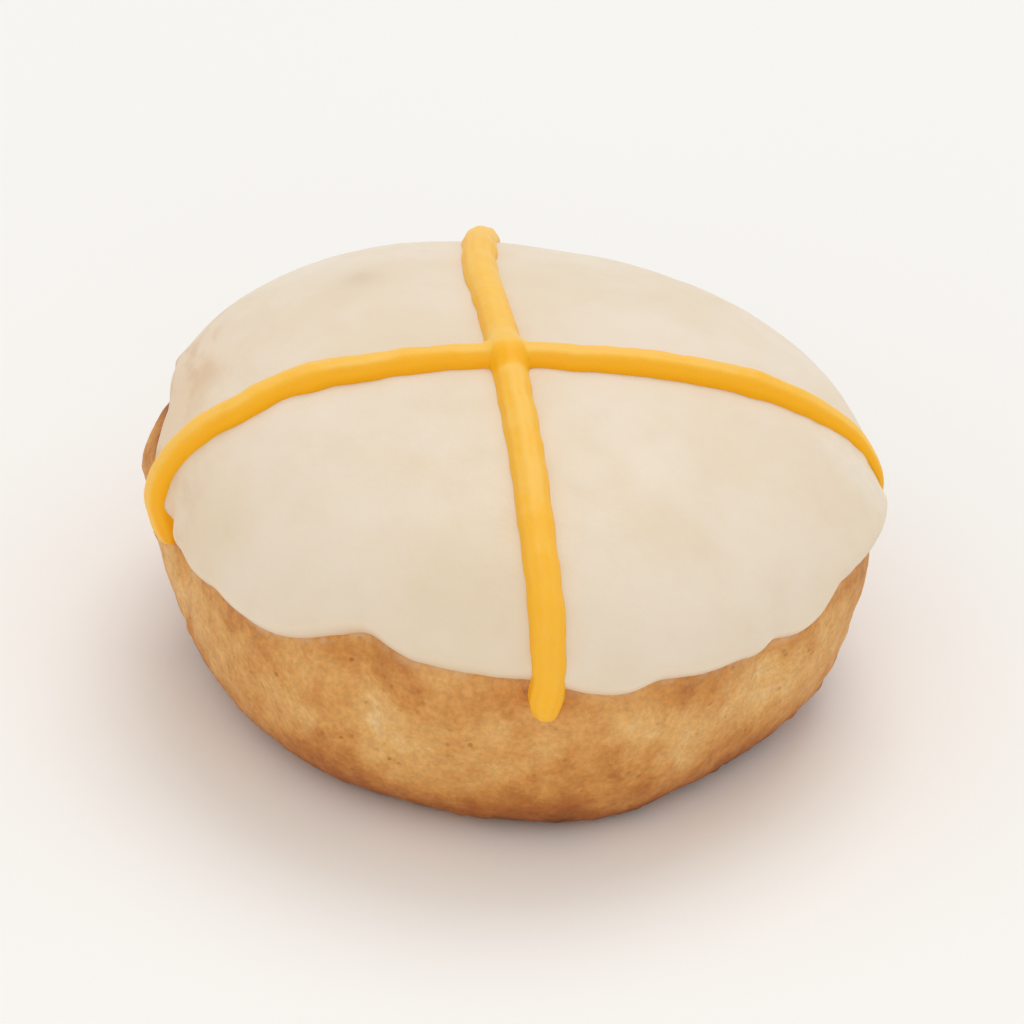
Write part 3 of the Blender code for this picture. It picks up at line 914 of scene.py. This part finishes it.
def piping_finish():
    """Yellow-orange icing, pale to deep as the strands' marks say."""
    # The piping's pale-to-deep colour is a painted sheen on the strands' tops and painted shade
    # down their sides.
    finish = Finish("piping")
    drift = finish.noise(0.009, detail=3.0)
    lumps = finish.noise(0.0016, detail=4.0, roughness=0.55)
    # Painted sheen and shade from the strands' marks, with a random drift and lumps of tone.
    place = finish.spread(drift, 0.2, 0.8, -0.09, 0.09)
    place = finish.math("ADD", finish.mark("painted_sheen_and_shade"), place)
    place = finish.math("ADD", place, finish.spread(lumps, 0.2, 0.8, -0.04, 0.04))
    # Painted shade in the ridges' grooves and paler painted crests.
    place = finish.math("ADD", place, finish.math("MULTIPLY", finish.mark("painted_ridge_shade"), 0.05))
    # The ramp runs from the deepest painted shade to the palest painted sheen.
    colour = finish.ramp(
        finish.spread(place, -0.6, 1.0),
        (0.00, linear(240, 160, 0)),
        (0.25, linear(250, 176, 0)),
        (0.55, linear(255, 183, 4)),
        (0.82, linear(255, 184, 31)),
        (0.92, linear(255, 188, 44)),
        (0.98, linear(254, 192, 62)),
        (1.00, linear(254, 200, 90)),
    )
    normal = finish.bump(lumps, 0.00010)
    finish.set(
        Base_Color=colour, Normal=normal,
        Roughness=finish.spread(lumps, 0.3, 0.7, 0.38, 0.52),
        Specular_IOR_Level=0.24, Subsurface_Weight=0.15, Subsurface_Scale=0.0012,
        Subsurface_Radius=(1.0, 0.50, 0.12),
    )
    return finish.material


def floor_finish():
    finish = Finish("floor")
    tone = finish.noise(0.35, detail=2.0)
    tone = finish.spread(tone, 0.3, 0.7)
    colour = finish.mix(tone, linear(247, 246, 244), linear(250, 249, 247))
    finish.set(Base_Color=colour, Roughness=0.80, Specular_IOR_Level=0.15)
    return finish.material


# ---- The bun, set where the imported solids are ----

def axis_offset(grid):
    """How far the frame's solids lie from the same forms made about the bun's own axis."""
    low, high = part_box("bun")
    middle = (np.array(low) + np.array(high)) / 2.0
    own = (grid.reshape(-1, 3).min(0) + grid.reshape(-1, 3).max(0)) / 2.0
    offset = middle - own
    offset[2] = 0.0
    return offset


def build_bun():
    crust_points, crust_marks = crust_grid()
    icing_points, icing_marks = icing_grid()
    crust = closed_mesh("crust", crust_points, crust_marks)
    icing = closed_mesh("icing_coat", icing_points, icing_marks)
    trees = [tree_of(crust), tree_of(icing)]
    side_line = strand_line(trees, SIDE_STRAND, 0.0, NUDGES)
    long_line = strand_line(trees, LONG_STRAND, 1.0)
    lower = closed_mesh("strand_across", *strand_grid(side_line, long_line, SIDE_PAINTED_SHADE))
    upper = closed_mesh("strand_along", *strand_grid(long_line, side_line, LONG_PAINTED_SHADE))

    offset = axis_offset(crust_points)
    for mesh in (crust, icing, lower, upper):
        corners = np.empty(len(mesh.vertices) * 3)
        mesh.vertices.foreach_get("co", corners)
        mesh.vertices.foreach_set("co", (corners.reshape(-1, 3) + offset).ravel())
        mesh.update()

    piece(crust, "bun", crust_finish())
    piece(icing, "icing", icing_finish())
    piped = piping_finish()
    piece(lower, "piped_cross", piped)
    piece(upper, "piped_cross", piped)


# ---- Stage, light and camera ----

FLOOR_RADIUS = 30.0
FLOOR_SEGMENTS = 96
SURROUND = 0.77                 # light from all round
SURROUND_COLOUR = (1.0, 0.995, 0.985, 1.0)
WALL_COLOUR = linear(248, 246, 242)  # what the camera sees past the floor
# Direction, how many degrees it spans, power and colour.
KEY_LIGHT = ((0.16, 0.46, 0.87), 36.0, 0.72, (0.98, 0.99, 1.0))
FRONT_FILL = ((-0.25, -0.88, 0.40), 55.0, 0.26, (1.0, 0.81, 0.50))
VIEW_AZIMUTH = -4.4             # degrees from straight on, where less than 0 is from the left
VIEW_ELEVATION = 31.9
VIEW_DISTANCE = 0.643
VIEW_CENTRE = (0.0, 0.0, 0.0200)
LENS = 190.0
SENSOR = 36.0


def build_floor():
    mesh = bpy.data.meshes.new("floor")
    turn = np.linspace(0.0, math.tau, FLOOR_SEGMENTS, endpoint=False)
    edge = np.stack((np.cos(turn), np.sin(turn), np.zeros_like(turn)), -1) * FLOOR_RADIUS
    mesh.from_pydata(edge.tolist(), [], [tuple(range(len(turn)))])
    floor = bpy.data.objects.new("floor", mesh)
    bpy.context.scene.collection.objects.link(floor)
    mesh.materials.append(floor_finish())


def aim(thing, target):
    thing.rotation_euler = (Vector(target) - thing.location).to_track_quat("-Z", "Y").to_euler()


def soft_light(name, place, spread, power, colour):
    """A distant light from the direction of a place, whose source spans a number of degrees."""
    lamp = bpy.data.lights.new(name, "SUN")
    lamp.angle = math.radians(spread)
    lamp.energy = power
    lamp.color = colour
    thing = bpy.data.objects.new(name, lamp)
    thing.location = place
    bpy.context.scene.collection.objects.link(thing)
    aim(thing, (0.0, 0.0, 0.0))


def build_lights():
    world = bpy.data.worlds.new("studio")
    world.use_nodes = True
    tree = world.node_tree
    glow = tree.nodes["Background"]
    glow.inputs["Color"].default_value = SURROUND_COLOUR
    glow.inputs["Strength"].default_value = SURROUND
    wall = tree.nodes.new("ShaderNodeBackground")
    wall.inputs["Color"].default_value = WALL_COLOUR
    seen = tree.nodes.new("ShaderNodeLightPath")
    both = tree.nodes.new("ShaderNodeMixShader")
    tree.links.new(seen.outputs["Is Camera Ray"], both.inputs[0])
    tree.links.new(glow.outputs["Background"], both.inputs[1])
    tree.links.new(wall.outputs["Background"], both.inputs[2])
    tree.links.new(both.outputs["Shader"], tree.nodes["World Output"].inputs["Surface"])
    bpy.context.scene.world = world
    soft_light("key", *KEY_LIGHT)
    soft_light("front_fill", *FRONT_FILL)


def build_camera():
    """A camera that looks at the bun and keeps the X axis level in the picture."""
    azimuth = math.radians(VIEW_AZIMUTH)
    elevation = math.radians(VIEW_ELEVATION)
    centre = Vector(VIEW_CENTRE)
    level = Vector((math.sin(azimuth), -math.cos(azimuth), 0.0)) * math.cos(elevation)
    back = level + Vector((0.0, 0.0, math.sin(elevation)))
    right = (Vector((1.0, 0.0, 0.0)) - back * back.x).normalized()
    turned_so = Matrix((right, back.cross(right), back)).transposed()
    lens = bpy.data.cameras.new("camera")
    lens.lens = LENS
    lens.sensor_width = SENSOR
    camera = bpy.data.objects.new("camera", lens)
    camera.location = centre + back * VIEW_DISTANCE
    camera.rotation_euler = turned_so.to_euler()
    bpy.context.scene.collection.objects.link(camera)
    bpy.context.scene.camera = camera


def set_tones():
    view = bpy.context.scene.view_settings
    view.view_transform = "Standard"
    view.look = "None"


build_bun()
build_floor()
build_lights()
build_camera()
set_tones()
